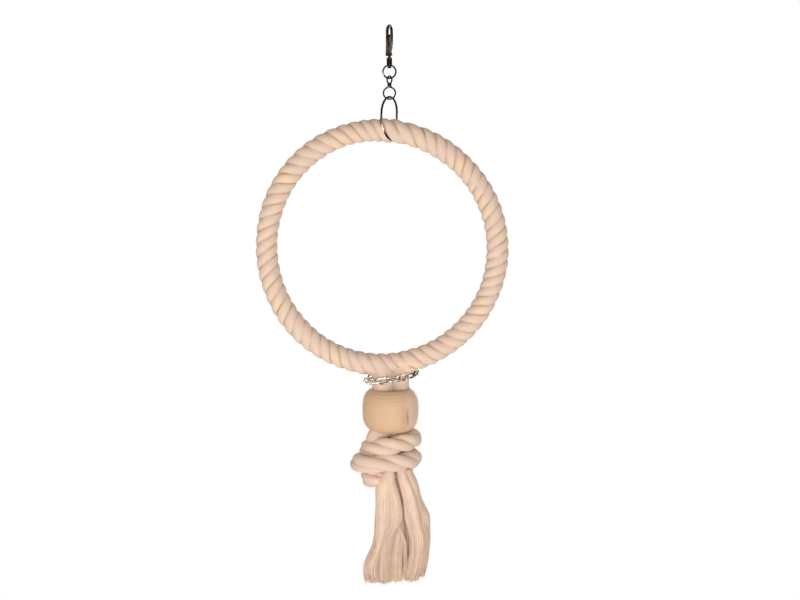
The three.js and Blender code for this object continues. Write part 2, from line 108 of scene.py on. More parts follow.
class Shade:
    def __init__(self, tree, socket=None):
        self.tree = tree
        self.socket = socket

    def node(self, kind, settings, inputs, out=0):
        made = self.tree.nodes.new(kind)
        for key, value in settings.items():
            if key == "stops":
                self.setStops(made.color_ramp, value)
            else:
                setattr(made, key, value)
        for key, value in inputs.items():
            if isinstance(value, Shade):
                self.tree.links.new(value.socket, made.inputs[key])
            else:
                made.inputs[key].default_value = value
        return Shade(self.tree, made.outputs[out] if made.outputs else None)

    def setStops(self, ramp, stops):
        while len(ramp.elements) < len(stops):
            ramp.elements.new(0.5)
        for element, (place, colour) in zip(ramp.elements, stops):
            element.position = place
            element.color = colour

    def outs(self, *names):
        return [Shade(self.tree, self.socket.node.outputs[name]) for name in names]

    def maths(self, operation, first, second=0.0):
        return self.node("ShaderNodeMath", {"operation": operation}, {0: first, 1: second})

    def mix(self, first, second, factor):
        settings = {"data_type": "RGBA", "clamp_factor": True}
        return self.node("ShaderNodeMix", settings, {0: factor, 6: first, 7: second}, 2)

    def clamp(self):
        return self.node("ShaderNodeClamp", {}, {0: self})

    def __add__(self, other):
        return self.maths("ADD", self, other)

    def __radd__(self, other):
        return self.maths("ADD", other, self)

    def __sub__(self, other):
        return self.maths("SUBTRACT", self, other)

    def __rsub__(self, other):
        return self.maths("SUBTRACT", other, self)

    def __mul__(self, other):
        return self.maths("MULTIPLY", self, other)

    def __rmul__(self, other):
        return self.maths("MULTIPLY", other, self)

    def __truediv__(self, other):
        return self.maths("DIVIDE", self, other)

    def __rtruediv__(self, other):
        return self.maths("DIVIDE", other, self)

    def __pow__(self, other):
        return self.maths("POWER", self, other)

    def __abs__(self):
        return self.maths("ABSOLUTE", self)


def startMaterial(name, fixed):
    material = bpy.data.materials.new(name)
    material.use_nodes = True
    tree = material.node_tree
    surface = next(n for n in tree.nodes if n.type == "BSDF_PRINCIPLED")
    for key, value in fixed.items():
        surface.inputs[key].default_value = value
    return material, Shade(tree), surface


def feed(surface, socket, shade):
    shade.tree.links.new(shade.socket, surface.inputs[socket])


# Cotton: fibres run along each strand, and painted shade darkens the grooves between strands

# the groove colour is painted shade, laid into the grooves between strands and into the hollows of the
# tassel's folds
cottonSet = {
    "pale": (0.82, 0.63, 0.495, 1), "deep": (0.70, 0.505, 0.373, 1), "grooveShade": (0.30, 0.185, 0.115, 1),
    "blush": (0.76, 0.52, 0.43, 1), "straw": (0.84, 0.62, 0.40, 1), "bump": 0.5, "fibreDepth": 0.4,
    "fibreStretch": 0.07, "blushFrom": 0.47, "blushGain": 3.6, "strawFrom": 0.52, "strawGain": 4.0,
    "grooveShadeSpread": 4.0, "grooveEdge": 4.0, "castShift": (0.31, 0.17, 0.53),
}


def cottonMaterial(name, skew, fineness, grooveShadeTone, contrast):
    # skew turns the fibres off the strand's own line, in degrees, and the groove tone sets how dark the
    # painted groove shade is; noise lies about 0.5
    fixed = {"Roughness": 0.92, "Specular IOR Level": 0.2, "Sheen Weight": 0.12, "Sheen Roughness": 0.5}
    material, shade, surface = startMaterial(name, fixed)
    lay = shade.node("ShaderNodeAttribute", {"attribute_name": "lay"}, {}, "Vector")
    split = shade.node("ShaderNodeSeparateXYZ", {}, {0: lay})
    along, across, grooveShade = split.outs(0, 1, 2)
    turn = math.radians(skew)
    over = across * math.cos(turn) - along * math.sin(turn)
    run = across * math.sin(turn) + along * math.cos(turn)
    streak = shade.node("ShaderNodeCombineXYZ", {}, {
        0: over * fineness, 1: run * (fineness * cottonSet["fibreStretch"]), 2: 0.0,
    })
    fibre = shade.node("ShaderNodeTexNoise", {}, {
        "Vector": streak, "Scale": 1.0, "Detail": 3.0, "Roughness": 0.6,
    })
    place = shade.node("ShaderNodeTexCoord", {}, {}, "Object")
    blotch = shade.node("ShaderNodeTexNoise", {}, {"Vector": place, "Scale": 75.0, "Detail": 2.0})
    moved = shade.node("ShaderNodeMapping", {}, {"Vector": place, "Location": cottonSet["castShift"]})
    cast = shade.node("ShaderNodeTexNoise", {}, {"Vector": moved, "Scale": 60.0, "Detail": 1.0})
    colour = shade.mix(cottonSet["deep"], cottonSet["pale"], (fibre - 0.5) * contrast + 0.5)
    colour = shade.mix(colour, cottonSet["blush"], (blotch - cottonSet["blushFrom"]) * cottonSet["blushGain"])
    colour = shade.mix(colour, cottonSet["straw"], (cast - cottonSet["strawFrom"]) * cottonSet["strawGain"])
    depth = (cast - 0.5) * cottonSet["grooveShadeSpread"] + 1.0      # the painted groove shade is deeper in some places and paler in others
    # painted shade: the groove colour is laid in most strongly at the bottom of each groove
    colour = shade.mix(colour, cottonSet["grooveShade"], grooveShade ** cottonSet["grooveEdge"] * depth * grooveShadeTone)
    feed(surface, "Base Color", colour)
    bumped = shade.node("ShaderNodeBump", {}, {
        "Strength": cottonSet["bump"], "Distance": cottonSet["fibreDepth"] * mm, "Height": fibre,
    })
    feed(surface, "Normal", bumped)
    return material


# Wood: growth rings that show as hanging arcs, fine pores, a cooler side and one reddish streak

woodSet = {
    "pale": (0.66, 0.432, 0.255, 1), "ring": (0.53, 0.325, 0.18, 1), "cool": (0.70, 0.50, 0.355, 1),
    "streak": (0.42, 0.165, 0.075, 1), "ringStep": 3.4, "ringAt": (-3.0, 46.0), "ringReach": 43.0,
    "ringFade": 14.0, "ringWidth": 23.0, "ringEdge": 1.25, "ringFlat": 0.22, "ringTone": 0.6,
    "swayScale": 0.05, "ringSway": 5.0, "coolSway": 4.0, "streakSway": 3.0, "coolFrom": 13.6,
    "coolGain": 0.25, "coolTone": 0.7, "frontFrom": 0.4, "frontDepth": 14.0, "grain": (1.4, 0.10, 0.35),
    "poreFrom": 0.44, "poreTone": 0.9, "poreDepth": 0.1, "bump": 0.2, "roughness": 0.42, "poreRoughness": 0.2,
    # x, height, half width, half height and weight
    "streakAt": (16.6, -5.0, 2.0, 12.0, 0.95), "bandAt": (13.0, -6.0, 4.0, 15.0, 0.30),
}


def woodMaterial():
    material, shade, surface = startMaterial("pale_wood", {"Specular IOR Level": 0.35})
    low, high = nodeBox("wooden_bead")
    centre = Vector((low + high) / 2 * mm)
    place = shade.node("ShaderNodeTexCoord", {}, {}, "Object")
    local = shade.node("ShaderNodeMapping", {}, {"Vector": place, "Location": -centre})
    local = shade.node("ShaderNodeVectorMath", {"operation": "SCALE"}, {0: local, "Scale": 1 / mm})
    sway = shade.node("ShaderNodeTexNoise", {}, {
        "Vector": local, "Scale": woodSet["swayScale"], "Detail": 2.0,
    })
    sway = sway - 0.5
    split = shade.node("ShaderNodeSeparateXYZ", {}, {0: local})
    x, y, z = split.outs(0, 1, 2)
    side, rise = woodSet["ringAt"]
    reach = (((x - side) * woodSet["ringFlat"]) ** 2.0 + (z - rise) ** 2.0) ** 0.5
    reach = reach + sway * woodSet["ringSway"]
    rings = shade.maths("SINE", reach * (2 * math.pi / woodSet["ringStep"])) * 0.5 + 0.5
    fading = ((woodSet["ringReach"] - reach) / woodSet["ringFade"]).clamp()
    fading = fading * (woodSet["ringEdge"] - abs(x - side) / woodSet["ringWidth"]).clamp()
    grain = shade.node("ShaderNodeMapping", {}, {"Vector": local, "Scale": woodSet["grain"]})
    pores = shade.node("ShaderNodeTexNoise", {}, {"Vector": grain, "Scale": 1.0, "Detail": 4.0})
    darker = rings * fading * woodSet["ringTone"] + (pores - woodSet["poreFrom"]) * woodSet["poreTone"]
    colour = shade.mix(woodSet["pale"], woodSet["ring"], darker)
    facing = (woodSet["frontFrom"] - y / woodSet["frontDepth"]).clamp()
    cooler = (x - woodSet["coolFrom"] + sway * woodSet["coolSway"]) * woodSet["coolGain"]
    colour = shade.mix(colour, woodSet["cool"], cooler.clamp() * facing * woodSet["coolTone"])
    for key in ("bandAt", "streakAt"):
        atX, atZ, wide, tall, weight = woodSet[key]
        near = (1.0 - abs(x - atX + sway * woodSet["streakSway"]) / wide).clamp()
        level = (1.0 - abs(z - atZ) / tall).clamp()
        colour = shade.mix(colour, woodSet["streak"], near * level * facing * weight)
    feed(surface, "Base Color", colour)
    feed(surface, "Roughness", pores * woodSet["poreRoughness"] + woodSet["roughness"])
    bumped = shade.node("ShaderNodeBump", {}, {
        "Strength": woodSet["bump"], "Distance": woodSet["poreDepth"] * mm, "Height": pores,
    })
    feed(surface, "Normal", bumped)
    return material


# Metal: plate with smears, and painted reflections as bright and dark patches in its colour; dark on the hook
# and its rings, where the dark colour stands for dark reflections on bright plate, and plain steel for the
# inner wires

# the stops are painted reflections: dark_nickel's dark stops stand for dark reflections and its brightest for
# a painted highlight, and nickel_plate's bright and dark stops paint the chain's reflections
metalSet = {
    "dark_nickel": {"roughness": 0.12, "drawn": 0.3, "stops": [
        (0.48, (0.012, 0.009, 0.008, 1)), (0.59, (0.045, 0.032, 0.025, 1)),
        (0.65, (0.13, 0.1, 0.078, 1)), (0.74, (0.48, 0.45, 0.41, 1)),
    ]},
    "nickel_plate": {"roughness": 0.10, "drawn": 1.0, "stops": [
        (0.46, (0.72, 0.66, 0.57, 1)), (0.61, (0.06, 0.043, 0.033, 1)),
    ]},
    "spring_steel": {"roughness": 0.28, "drawn": 1.0, "stops": [
        (0.42, (0.45, 0.45, 0.46, 1)), (0.587, (0.26, 0.25, 0.25, 1)),
    ]},
}
reflectionAndSmearSet = {"scale": 240.0, "roughness": 0.14}


def metalMaterial(name):
    # drawn below 1 pulls the painted reflection patches and the smears out along the hanging line
    metal = metalSet[name]
    material, shade, surface = startMaterial(name, {"Metallic": 1.0})
    place = shade.node("ShaderNodeTexCoord", {}, {}, "Object")
    pulled = shade.node("ShaderNodeMapping", {}, {"Vector": place, "Scale": (1.0, 1.0, metal["drawn"])})
    reflectionAndSmear = shade.node("ShaderNodeTexNoise", {}, {
        "Vector": pulled, "Scale": reflectionAndSmearSet["scale"], "Detail": 2.0,
    })
    # the ramp paints bright and dark reflection patches into the base colour, and the same noise roughens the
    # plate in smears
    feed(surface, "Base Color", shade.node("ShaderNodeValToRGB", {"stops": metal["stops"]}, {"Fac": reflectionAndSmear}))
    feed(surface, "Roughness", reflectionAndSmear * reflectionAndSmearSet["roughness"] + metal["roughness"])
    return material


finishes = {
    "cotton_rope": cottonMaterial("cotton_rope", skew=10, fineness=1.5, grooveShadeTone=0.65, contrast=1.8),
    "cotton_yarn": cottonMaterial("cotton_yarn", skew=0, fineness=1.2, grooveShadeTone=0.75, contrast=4.0),
    "pale_wood": woodMaterial(),
    **{name: metalMaterial(name) for name in metalSet},
}
print("materials made")


# Shared modelling: grids rolled along a path, spun outlines and the end of every piece

weldGap = 0.002
wireSet = {"around": 14, "tipShare": 0.05}


def runOf(points):
    # how far along a path each of its points lies
    return np.r_[0, np.cumsum(np.linalg.norm(np.diff(points, axis=0), axis=1))]


def evenPath(points, step):
    # the same path with its points a step apart
    points = np.array(points, float)
    runs = runOf(points)
    marks = np.linspace(0, runs[-1], max(2, round(runs[-1] / step)) + 1)
    return np.stack([np.interp(marks, runs, points[:, k]) for k in range(3)], axis=1)


def carryFrames(points, closed=False):
    # tangents of a path, and a side and an up direction that don't spin about it
    if closed:
        tangents = unit(np.roll(points[:-1], -1, axis=0) - np.roll(points[:-1], 1, axis=0))
        tangents = np.vstack([tangents, tangents[:1]])
    else:
        tangents = unit(np.gradient(points, axis=0))
    side = np.eye(3)[np.argmin(np.abs(tangents[0]))]
    sides = []
    for tangent in tangents:
        side = unit(side - tangent * side.dot(tangent))
        sides.append(side)
    sides = np.array(sides)
    return tangents, sides, np.cross(tangents, sides)


def rollGrid(work, along, around, place):
    # a grid with one side run along the piece and the other rolled round it; place gives spots and tags
    made = bmesh.ops.create_grid(work, x_segments=along, y_segments=around, size=0.5, calc_uvs=True)["verts"]
    uv = np.array([vert.co[:2] for vert in made]) + 0.5
    spots, tags = place(uv[:, 0], uv[:, 1])
    layer = work.verts.layers.float_vector["lay"]
    for vert, spot, tag in zip(made, spots, tags):
        vert.co = Vector(spot) * mm
        vert[layer] = Vector(tag)
    return made


def startWork():
    # lay holds each spot's run along the strand, its way round and how much painted shade it takes, which on
    # rope follows the groove's depth
    work = bmesh.new()
    work.loops.layers.uv.new("UVMap")
    work.verts.layers.float_vector.new("lay")
    return work


def closeWork(work):
    # seams welded, open ends filled and faces turned outwards
    bmesh.ops.remove_doubles(work, verts=work.verts, dist=weldGap * mm)
    bmesh.ops.holes_fill(work, edges=[edge for edge in work.edges if edge.is_boundary], sides=0)
    bmesh.ops.recalc_face_normals(work, faces=work.faces)


def bevelEdges(work, edges, offset, segments):
    bmesh.ops.bevel(
        work, geom=edges, offset=offset * mm, segments=segments, profile=0.5, affect="EDGES", material=-1,
    )


def finishPiece(work, name, body, slot, *nodes):
    for face in work.faces:
        face.smooth = True
    mesh = bpy.data.meshes.new(name)
    work.to_mesh(mesh)
    work.free()
    piece = bpy.data.objects.new(name, mesh)
    scene.collection.objects.link(piece)
    mesh.materials.append(finishes[slot])
    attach(piece, body)
    if nodes:
        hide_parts(*nodes)
    return piece


def addWire(work, points, radius, around=wireSet["around"], closed=False):
    # round wire; radius is one number, or one for each point
    _, sides, ups = carryFrames(points, closed)
    steps = len(points) - 1
    radii = np.broadcast_to(radius, len(points))

    def place(u, v):
        i = np.rint(u * steps).astype(int)
        angle = 2 * np.pi * v
        reach = np.cos(angle)[:, None] * sides[i] + np.sin(angle)[:, None] * ups[i]
        return points[i] + reach * radii[i][:, None], np.zeros((len(u), 3))

    return rollGrid(work, steps, around, place)


def roundedRadii(points, radius, start=True, end=True):
    # radii that close the ends of a wire to a dome
    runs = runOf(points)
    near = np.full(len(points), radius, float)
    if start:
        near = np.minimum(near, runs)
    if end:
        near = np.minimum(near, runs[-1] - runs)
    rest = 1 - near / radius
    return np.maximum(radius * np.sqrt(np.clip(1 - rest * rest, 0, 1)), wireSet["tipShare"] * radius)


def addSpun(work, outline, centre, steps):
    # an outline of (radius, height) points spun about an upright line
    verts = [work.verts.new(Vector((centre[0] + r, centre[1], centre[2] + z)) * mm) for r, z in outline]
    edges = [work.edges.new(pair) for pair in zip(verts, verts[1:])]
    bmesh.ops.spin(
        work, geom=verts + edges, cent=Vector(centre) * mm, axis=(0, 0, 1), dvec=(0, 0, 0),
        angle=2 * math.pi, steps=steps, use_merge=True,
    )


# Laid rope: three strands twisted together

ropeSet = {"strandShare": 0.77, "around": 72, "step": 1.15}


def addRope(work, points, radius, twist, frames, strand=ropeSet["strandShare"], grooveShadeStrength=1.0):
    # twist counts the lay's turns up to each point, and the last argument, below 1, makes the painted shade
    # in the grooves paler
    _, sides, ups = frames
    steps = len(points) - 1
    radii = np.broadcast_to(radius, len(points))
    strands = np.broadcast_to(strand, len(points))
    runs = runOf(points)

    def place(u, v):
        i = np.rint(u * steps).astype(int)
        angle = 2 * np.pi * v
        lay = angle - 2 * np.pi * twist[i]
        third = 2 * np.pi / 3
        delta = lay - np.round(lay / third) * third
        thick = strands[i]
        offset = 1 - thick
        share = offset * np.cos(delta) + np.sqrt(thick ** 2 - (offset * np.sin(delta)) ** 2)
        deepest = offset / 2 + np.sqrt(thick ** 2 - 0.75 * offset ** 2)
        reach = np.cos(angle)[:, None] * sides[i] + np.sin(angle)[:, None] * ups[i]
        # painted groove shade follows the groove's depth, and is lighter where the strands lie shallower
        grooveShade = (1 - share) / (1 - deepest) * np.minimum(1, offset / (1 - ropeSet["strandShare"]))
        tags = np.stack([runs[i], angle * radii[i], grooveShadeStrength * grooveShade], axis=1)
        return points[i] + reach * (radii[i] * share)[:, None], tags

    rollGrid(work, steps, ropeSet["around"], place)


# Perch ring: a closed hoop of rope, its lay meeting itself. The turn starts at the top, clockwise

ringLow, ringHigh = nodeBox("rope_ring")
hoopSet = {
    "ropeDiameter": 21.8, "lays": 65 / 3, "phase": 0.19, "bailTurn": 0.06, "bailSwell": (0.08, 0.1),
    "bailLay": (0.2, 0.2), "slack": 0.3, "fullness": 1.02,
    # waves round the hoop: size, count and start in radians
    "slackWaves": [(-0.5, 1, math.pi / 2), (1.05, 2, math.pi / 2), (-0.7, 2, 0), (-0.55, 3, 0)],
    "layWaves": [(-0.14, 1, math.pi / 2), (-0.053, 1, 0), (0.025, 2, math.pi / 2), (-0.012, 2, 0),
                 (0.012, 3, 1), (0.008, 7, 0)],
    "fullnessWaves": [(0.012, 5, 0), (0.008, 11, 2)],
}
hoopOuter = (ringHigh[0] - ringLow[0]) / 2
hoopRadius = hoopOuter - hoopSet["ropeDiameter"] / 2
hoopCentre = np.array([(ringLow[0] + ringHigh[0]) / 2, 0, ringHigh[2] - hoopOuter])
hoopBottom = hoopCentre[2] - hoopRadius


def waves(turn, parts):
    return sum(size * np.sin(count * turn + start) for size, count, start in parts)


def hoopPoints(turn):
    # the rope's own spring leaves the hoop a little out of round
    slack = hoopSet["slack"] + waves(turn, hoopSet["slackWaves"])
    outward = np.stack([np.sin(turn), 0 * turn, np.cos(turn)], axis=1)
    return hoopCentre + (hoopRadius + slack)[:, None] * outward


def nearBail(turn, size, reach):
    gap = (turn - hoopSet["bailTurn"] + np.pi) % (2 * np.pi) - np.pi
    return size * np.exp(-(gap / reach) ** 2)


def hoopTwist(turn):
    # the lay is tighter in some places than in others, and one groove is under the bail
    uneven = waves(turn, hoopSet["layWaves"]) + nearBail(turn, *hoopSet["bailLay"])
    return hoopSet["phase"] + hoopSet["lays"] * turn / (2 * np.pi) + uneven


def hoopRopeRadius(turn):
    swell = hoopSet["fullness"] + waves(turn, hoopSet["fullnessWaves"])
    return hoopSet["ropeDiameter"] / 2 * (swell + nearBail(turn, *hoopSet["bailSwell"]))


def ringFrames(tangents):
    # the side direction keeps in the hoop's plane, outside of the bend
    sides = np.stack([-tangents[:, 2], 0 * tangents[:, 0], tangents[:, 0]], axis=1)
    sides = unit(sides - tangents * np.sum(sides * tangents, axis=1, keepdims=True))
    return tangents, sides, np.cross(tangents, sides)


def makeRing():
    work = startWork()
    steps = round(2 * math.pi * hoopRadius / ropeSet["step"])
    turn = np.linspace(0, 2 * np.pi, steps + 1)
    nudge = 0.001
    tangents = unit(hoopPoints(turn + nudge) - hoopPoints(turn - nudge))
    addRope(work, hoopPoints(turn), hoopRopeRadius(turn), hoopTwist(turn), ringFrames(tangents))
    closeWork(work)
    finishPiece(work, "perch_rope", "perch", "cotton_rope", "rope_ring")


makeRing()
print("perch ring made")


# Legs: the rope's two ends, turned down out of the hoop, through the bead and into the knot

knotFoot = nodeBox("knot_winding")[0][2]
legSet = {
    "left_leg": {
        "side": -1, "x": -5.9, "y": -2.5, "radius": 12.0, "knotX": -15.5, "knotY": -9.0, "forward": -2.2,
    },
    "right_leg": {
        "side": 1, "x": 10.4, "y": -0.4, "radius": 9.6, "knotX": 4.5, "knotY": 0.0, "forward": 0.0,
    },
    "knotRadius": 8.6, "drawIn": (-399.0, -411.0), "step": 0.8, "bend": 14.0, "bendPull": 0.6,
    "bendPoints": 30, "overlap": 0.30, "overlapStep": 0.008, "proud": 0.15, "sink": 0.6, "lay": 240.0,
    "strandShare": 0.88, "endsAbove": 19.0,
}


def legPath(leg):
    # the upright, the bend and the stretch on the hoop; then the upright's draw and the stretch's turn
    bend, pull = legSet["bend"], legSet["bend"] * legSet["bendPull"]
    z = np.arange(knotFoot + legSet["endsAbove"], hoopBottom - bend, legSet["step"])
    first, last = legSet["drawIn"]
    drawn = smooth((first - z) / (first - last))
    x, y = blend(leg["x"], leg["knotX"], drawn), blend(leg["y"], leg["knotY"], drawn)
    upright = np.stack([x, y, z], axis=1)
    joinX = leg["x"] + leg["side"] * bend
    joinTurn = math.pi - math.asin((joinX - hoopCentre[0]) / hoopRadius)
    turn = joinTurn - leg["side"] * np.arange(0, legSet["overlap"], legSet["overlapStep"])
    along = hoopPoints(turn)
    along[:, 1] += leg["forward"] * (1 - smooth((turn - turn[0]) / (turn[-1] - turn[0])))
    t = np.linspace(0, 1, legSet["bendPoints"])[1:-1, None]
    start, stop = upright[-1], along[0]
    rise = start + np.array([0, 0, pull])
    reach = stop - unit(along[1] - along[0]) * pull
    corner = start * (1 - t) ** 3 + 3 * rise * t * (1 - t) ** 2 + 3 * reach * t ** 2 * (1 - t) + stop * t ** 3
    return upright, corner, along, drawn, turn


def makeLeg(name):
    leg = legSet[name]
    work = startWork()
    upright, corner, along, drawn, turn = legPath(leg)
    points = np.vstack([upright, corner, along])
    runs = runOf(points)
    top, join = len(upright) - 1, len(upright) + len(corner)
    bent = smooth((runs - runs[top]) / (runs[join] - runs[top]))
    hoopLay = 2 * math.pi * hoopRadius / hoopSet["lays"]
    rate = 1 / blend(legSet["lay"], hoopLay, bent)
    wound = np.r_[0, np.cumsum((rate[1:] + rate[:-1]) / 2 * np.diff(runs))]
    handed = -leg["side"]      # the right leg meets the hoop against its turn
    twist = hoopTwist(turn[0]) + handed * (wound - wound[join])
    twist[join:] = hoopTwist(turn)
    drawn = np.r_[drawn, np.zeros(len(points) - len(drawn))]
    radius = blend(leg["radius"], legSet["knotRadius"], drawn)
    radius = blend(radius, hoopRopeRadius(turn[0]) + legSet["proud"], bent)
    fade = smooth((runs - runs[join]) / (runs[-1] - runs[join]))
    radius[join:] = hoopRopeRadius(turn) + legSet["proud"] - legSet["sink"] * fade[join:]
    strand = blend(legSet["strandShare"], ropeSet["strandShare"], bent)
    if leg["side"] > 0:
        points, radius, twist, strand = points[::-1], radius[::-1], twist[::-1], strand[::-1]
    tangents = unit(np.gradient(points, axis=0))
    addRope(work, points, radius, twist, ringFrames(tangents), strand)
    closeWork(work)
    finishPiece(work, name, "perch", "cotton_rope")


makeLeg("left_leg")
makeLeg("right_leg")
print("legs made")


# Knot: the winding under the bead, its lay opened out so that the strands lie nearly level

knotSet = {
    "radius": 9.6, "strandShare": 0.60, "halfWidth": 23.4, "halfDepth": 19.2, "first": -0.42, "last": 2.8,
    # the knot's painted groove shade is weakened to 0.82 of the rope's
    "points": 430, "turn": 24, "shift": 1.0, "lay": 70.0, "phase": 0.324, "grooveShadeStrength": 0.82,
    # one height for each quarter turn, and the lay's slack by turn
    "heights": (-410.5, -413, -420, -427, -431.5, -431.5, -432.2, -440.5, -447, -447.5, -450.5),
    "heightEase": 18, "slackEase": 10,
    "slackLay": [(-0.1, -0.12), (0.13, -0.12), (0.3, 0.0), (0.85, 0.0), (1.02, -0.1), (1.1, -0.1),
                 (1.25, -0.05), (1.38, -0.1), (1.5, -0.29), (1.6, -0.36), (2.0, -0.333)],
    # humps: turn, reach and size
    "leftBulge": (1.5, 0.17, 10.0), "pressedIn": (2.18, 0.21, 15.0),
    "rounder": [(0.03, 0.11, 1), (1.04, 0.11, 1)],
    # ramps: the turn where they start, how far they run, forwards or back, and size
    "tuckIn": (-0.04, -0.26, 0.62), "tuckOut": (2.53, 0.2, 0.97), "leadIn": (-0.24, -0.18, 16.0),
    "leadOut": (2.62, 0.16, 17.0),
    "roundShare": 0.27, "roundSlim": 0.7, "tuckSlim": 3, "pressSlim": 0.25,
}


def eased(values, reach):
    # rounds the corners in a run of values
    return np.convolve(np.pad(values, reach, "edge"), np.ones(2 * reach + 1) / (2 * reach + 1), "valid")


def hump(turns, at, reach, size):
    return size * np.exp(-((turns - at) / reach) ** 2)


def ramp(turns, start, run, size):
    return size * smooth((turns - start) / run)


def makeKnot():
    # the rope comes down out of the bead, winds round and goes down into the tassel
    work = startWork()
    turns = np.linspace(knotSet["first"], knotSet["last"], knotSet["points"])
    angle = 2 * np.pi * turns
    bulge, pressed = hump(turns, *knotSet["leftBulge"]), hump(turns, *knotSet["pressedIn"])
    tucked = ramp(turns, *knotSet["tuckIn"]) + ramp(turns, *knotSet["tuckOut"])
    wide = (knotSet["halfWidth"] + bulge - pressed) * (1 - tucked)
    deep = (knotSet["halfDepth"] + bulge - pressed) * (1 - tucked)
    heights = np.array(knotSet["heights"])
    height = eased(np.interp(4 * turns, np.arange(len(heights)), heights), knotSet["heightEase"])
    height = height + ramp(turns, *knotSet["leadIn"]) - ramp(turns, *knotSet["leadOut"])
    points = np.stack([wide * np.cos(angle), -deep * np.sin(angle), height], axis=1)
    points = turned(points, knotSet["turn"]) + (knotSet["shift"], 0, 0)
    frames = carryFrames(points)
    start = np.searchsorted(turns, 0)      # the lay is counted from here, and from straight up
    upright = math.atan2(frames[2][start, 2], frames[1][start, 2]) / (2 * math.pi)
    runs = runOf(points)
    slack = eased(np.interp(turns, *zip(*knotSet["slackLay"])), knotSet["slackEase"])
    twist = knotSet["phase"] + upright + (runs - runs[start]) / knotSet["lay"] + slack
    rounder = sum(hump(turns, *place) for place in knotSet["rounder"])
    strand = knotSet["strandShare"] + knotSet["roundShare"] * rounder
    radius = knotSet["radius"] - knotSet["roundSlim"] * rounder
    radius = radius - knotSet["tuckSlim"] * tucked - knotSet["pressSlim"] * pressed
    addRope(work, points, radius, twist, frames, strand, knotSet["grooveShadeStrength"])
    closeWork(work)
    finishPiece(work, "knot", "perch", "cotton_rope", "knot_winding")


makeKnot()
print("knot made")


# Tassel: six opened strands of yarn. Each station is height, x, y, half width and half depth

tasselClumps = {
    "tassel_strand_1": [(-440, -1, -15, 6, 6), (-447, -3, -18, 7.3, 7.5), (-453, -5, -18, 9.7, 8),
                        (-460, -5, -17, 10.2, 8.5), (-470, -4.5, -15, 10, 8.5), (-485, -5, -13, 10, 8.5),
                        (-498, -6.5, -11, 9, 8.5), (-514, -7.5, -9, 8.5, 8.5), (-523, -10.5, -8, 8.5, 8.5),
                        (-531, -14, -8, 8.5, 8.5), (-539, -18, -8, 9, 8.5), (-547, -17.5, -9, 8.5, 8.5),
                        (-556, -16.5, -9, 8.5, 8.5)],
    "tassel_strand_2": [(-438, 0, -15, 4.5, 6.5), (-447, -0.7, -18, 5, 7.5), (-458, 1, -17.5, 6.2, 8),
                        (-470, 3.4, -15, 7.2, 8), (-485, 5, -13, 8, 8.5), (-492, 5.5, -12, 8, 8.5),
                        (-500, 0, -11, 7.5, 8.5), (-512, -3.5, -11, 6.5, 8.5), (-524, -6, -11, 6, 8),
                        (-556, -6, -11, 6, 8)],
    "tassel_strand_3": [(-448, -5, 0, 5, 5), (-466, -6, 3, 7.5, 7), (-491, -4, 5, 8.5, 8),
                        (-520, -6, 7, 8.5, 8.5), (-552, -9, 9, 8.5, 8.5)],
    "tassel_strand_4": [(-438, 11, -13, 5, 5), (-446, 12.5, -16, 5.5, 6.5), (-458, 17.5, -16, 7, 7),
                        (-471, 21, -14, 7, 8), (-491, 23, -12, 8, 8), (-511, 28.5, -10, 7.5, 8),
                        (-527, 28, -9, 7, 8), (-548, 23, -8, 7.5, 8), (-555, 22, -8, 7, 8)],
    "tassel_strand_5": [(-440, 16, -9, 6, 5), (-446, 18, -11, 6.5, 6), (-452, 22, -10, 7, 7),
                        (-468, 24.2, -7, 7, 8), (-476, 26.8, -6, 6.5, 8), (-484, 32.5, -5, 6.5, 8),
                        (-491, 35, -4, 7, 8), (-500, 33, -2, 6.5, 8), (-512, 34.5, 0, 6.5, 8),
                        (-528, 32.5, 1, 6.5, 8), (-544, 31.5, 2, 6.5, 8), (-553, 29, 2, 6, 8)],
    "tassel_strand_6": [(-448, 6, 2, 5, 5), (-466, 9, 4, 7.5, 7), (-491, 13, 6, 9, 7),
                        (-510, 13.5, 7, 9.5, 7), (-530, 13, 7, 9.5, 7), (-550, 12, 6, 8.5, 7)],
}
# the middle strand falls open, with a bundle and a thin lock in front of it
openedOut = {
    "tassel_strand_6": [
        [(-478, 9, -2, 4, 4), (-498, 10, -4, 5, 5), (-514, 8.8, -6, 5.6, 6), (-533, 5.8, -7, 6.6, 6.5),
         (-556, 5.4, -7, 6.8, 6.5)],
        [(-484, 2, -8, 1.6, 1.6), (-494, 6.5, -11, 1.7, 1.7), (-506, 12, -10, 1.8, 1.8),
         (-515, 15, -9, 1.8, 1.8), (-532, 16, -8, 1.9, 1.9), (-553, 16.2, -8, 2, 2)],
    ],
}
clumpSet = {
    "rows": 60, "around": 80, "rounding": 16, "coreShare": 0.985, "taper": 0.12, "taperFrom": 11 / 12,
    # two of these set the painted shade on a clump's core: a little everywhere, and more in the hollows of
    # its folds
    "recess": 3.0, "recessEdge": 16, "unevenFoot": (0.8, 0.6), "paintedShade": 0.35, "foldShadeGain": 3, "opens": 0.4,
    # depth, count round the clump, how they start, sway and waves down the clump
    "folds": [(0.05, 3, 1.7, 1.2, 4), (0.035, 7, 2.3, 1.5, 6), (0.02, 17, 0.9, 2.0, 5)],
}


def softCurve(stations):
    # stations joined by a curve that is rounded at each of them
    stations = np.array(stations, float)
    marks = np.linspace(stations[0, 0], stations[-1, 0], clumpSet["rows"] + 1)
    rows = np.stack([np.interp(-marks, -stations[:, 0], column) for column in stations.T], axis=1)
    for _ in range(clumpSet["rounding"]):
        rows[1:-1] = (rows[:-2] + 2 * rows[1:-1] + rows[2:]) / 4
    return rows


